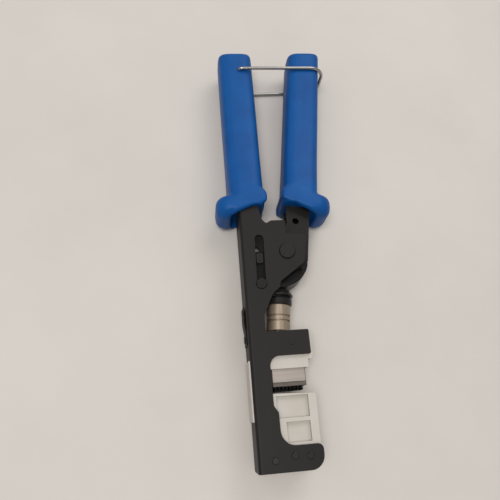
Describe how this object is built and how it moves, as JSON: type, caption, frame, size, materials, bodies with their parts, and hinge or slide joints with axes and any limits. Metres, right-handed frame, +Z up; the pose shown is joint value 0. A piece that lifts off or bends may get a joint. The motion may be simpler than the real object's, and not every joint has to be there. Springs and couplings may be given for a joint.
{
  "type": "crimping tool",
  "caption": "Hand crimping tool with a folded black frame, a cam lever, a sprung punch over a white jack nest, blue dipped grips and a wire bail that latches the handles.",
  "frame": {"origin": "middle of the footprint, on the surface that the tool lies on", "axes": "+Y along the tool from the foot to the grips, +X across it from the spine to the moving handle, +Z up through its thickness"},
  "size_m": [0.075, 0.25, 0.029],
  "materials": {
    "black_steel": "satin black",
    "dark_steel": "dark oxide",
    "blue_vinyl": "soft dipped vinyl",
    "black_fasteners": "black oxide",
    "bare_steel": "bright",
    "ram_steel": "turned, slightly warm",
    "blade_holder": "dark brown",
    "white_plastic": "moulded",
    "bail_wire": "bright drawn wire"
  },
  "bodies": {
    "frame": {"frame_channel": "black_steel", "fixed_grip": "blue_vinyl", "pivot_pin": "black_fasteners", "pivot_washers": "bare_steel", "slot_stops": "black_fasteners", "ram_bush": "bare_steel", "tab_pin": "black_fasteners", "punch_guide": "white_plastic", "jack_nest": "white_plastic", "nest_rivets": "black_fasteners", "spine_clip": "dark_steel", "clip_rivet": "black_fasteners", "return_spring": "bare_steel"},
    "lever": {"lever_channel": "black_steel", "moving_grip": "blue_vinyl", "cam_plates": "dark_steel", "pivot_bush": "bare_steel", "cam_rivets": "black_fasteners"},
    "ram": {"plunger_cap": "black_fasteners", "ram_collar": "black_fasteners", "ram_sleeve": "ram_steel", "plunger_rod": "bare_steel", "guide_yoke": "dark_steel", "guide_block": "black_fasteners", "punch_block": "ram_steel", "rod_pin": "bare_steel", "blade_holder": "blade_holder", "punch_blades": "dark_steel"},
    "bail": {"latch_bail": "bail_wire"}
  },
  "joints": [
    {"name": "handle_swing", "type": "hinge", "parent": "frame", "child": "lever", "pos_m": [0.0004, -0.013, 0.0145], "axis": [0, 0, -1], "range_deg": [-7.5, 45]},
    {"name": "ram_slide", "type": "slide", "parent": "frame", "child": "ram", "axis": [0.0958, 0.9954, 0], "range_m": [-0.00075, 0.0041], "deforming": ["return_spring"]},
    {"name": "bail_swing", "type": "hinge", "parent": "frame", "child": "bail", "pos_m": [-0.0179, 0.1077, 0.0145], "axis": [0, 0, 1], "range_deg": [-24, 136], "deforming": ["latch_bail"]}
  ],
  "couplings": [
    {"joint": "ram_slide", "follows": "handle_swing", "m_per_rad": 0.005},
    {"joint": "bail_swing", "follows": "handle_swing", "ratio": 3}
  ]
}
